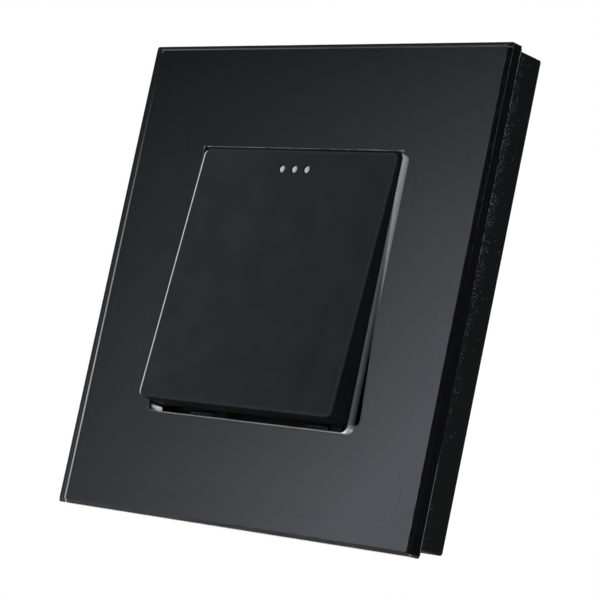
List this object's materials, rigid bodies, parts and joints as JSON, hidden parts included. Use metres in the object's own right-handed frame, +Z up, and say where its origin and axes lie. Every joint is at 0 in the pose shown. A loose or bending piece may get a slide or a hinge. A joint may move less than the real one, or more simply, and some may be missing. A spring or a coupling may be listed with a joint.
{
  "type": "kinetic wireless wall switch",
  "caption": "Square black glass wall switch with one big tilted key that drives a small power generator.",
  "frame": {"origin": "on the wall plane, behind the middle of the glass front", "axes": "+X to the right as seen by the person pressing the key, +Y into the wall, +Z up"},
  "size_m": [0.086, 0.0131, 0.086],
  "materials": {
    "clear_glass": "polished, window walls ground",
    "black_backing": "matt",
    "frame_plastic": "fine grain",
    "key_plastic": "fine grain",
    "milky_plastic": "milky",
    "silicone": "matt",
    "spring_steel": "drawn",
    "screw_steel": "zinc plated",
    "board": "solder mask",
    "tin_plate": "tinned",
    "black_epoxy": "moulded",
    "lamp_resin": "clear",
    "tantalum_case": "moulded",
    "copper": "enamelled",
    "grey_nylon": "moulded",
    "white_nylon": "moulded",
    "core_steel": "cut sheet",
    "nickel": "plated",
    "foam_tape": "matt foam"
  },
  "bodies": {
    "base": {"carrier_frame": "frame_plastic", "glass_plate": "clear_glass", "glass_backing": "black_backing", "wall_plate": "grey_nylon", "adhesive_pads": "foam_tape", "key_stop_pads": "silicone", "key_return_springs": "spring_steel", "board_cover": "frame_plastic", "cover_screws": "screw_steel", "circuit_board": "board", "shield_can": "tin_plate", "radio_chip": "black_epoxy", "antenna": "tin_plate", "indicator_leds": "lamp_resin", "storage_capacitors": "tantalum_case", "rectifier_diodes": "black_epoxy", "coil_leads": "copper", "generator_tray": "grey_nylon", "coil_bobbin": "white_nylon", "coil_winding": "copper", "core_yoke": "core_steel", "core_leg": "core_steel", "generator_screws": "screw_steel"},
    "key": {"key": "key_plastic", "light_guides": "milky_plastic"},
    "rotor": {"rotor_carrier": "white_nylon", "magnet": "nickel", "pole_plates": "nickel", "snap_leaf": "spring_steel"}
  },
  "joints": [
    {"name": "key_press", "type": "hinge", "parent": "base", "child": "key", "pos_m": [0, -0.005, 0.0193], "axis": [1, 0, 0], "range_deg": [0, 4.2], "stiffness_Nm_per_rad": 1.5, "deforming": ["key_return_springs"]},
    {"name": "rotor_rock", "type": "hinge", "parent": "base", "child": "rotor", "pos_m": [-0.0045, -0.0055, -0.0165], "axis": [0, 0, 1], "range_deg": [0, 6.4]}
  ],
  "couplings": [
    {"joint": "rotor_rock", "follows": "key_press", "ratio": 1.5238}
  ]
}
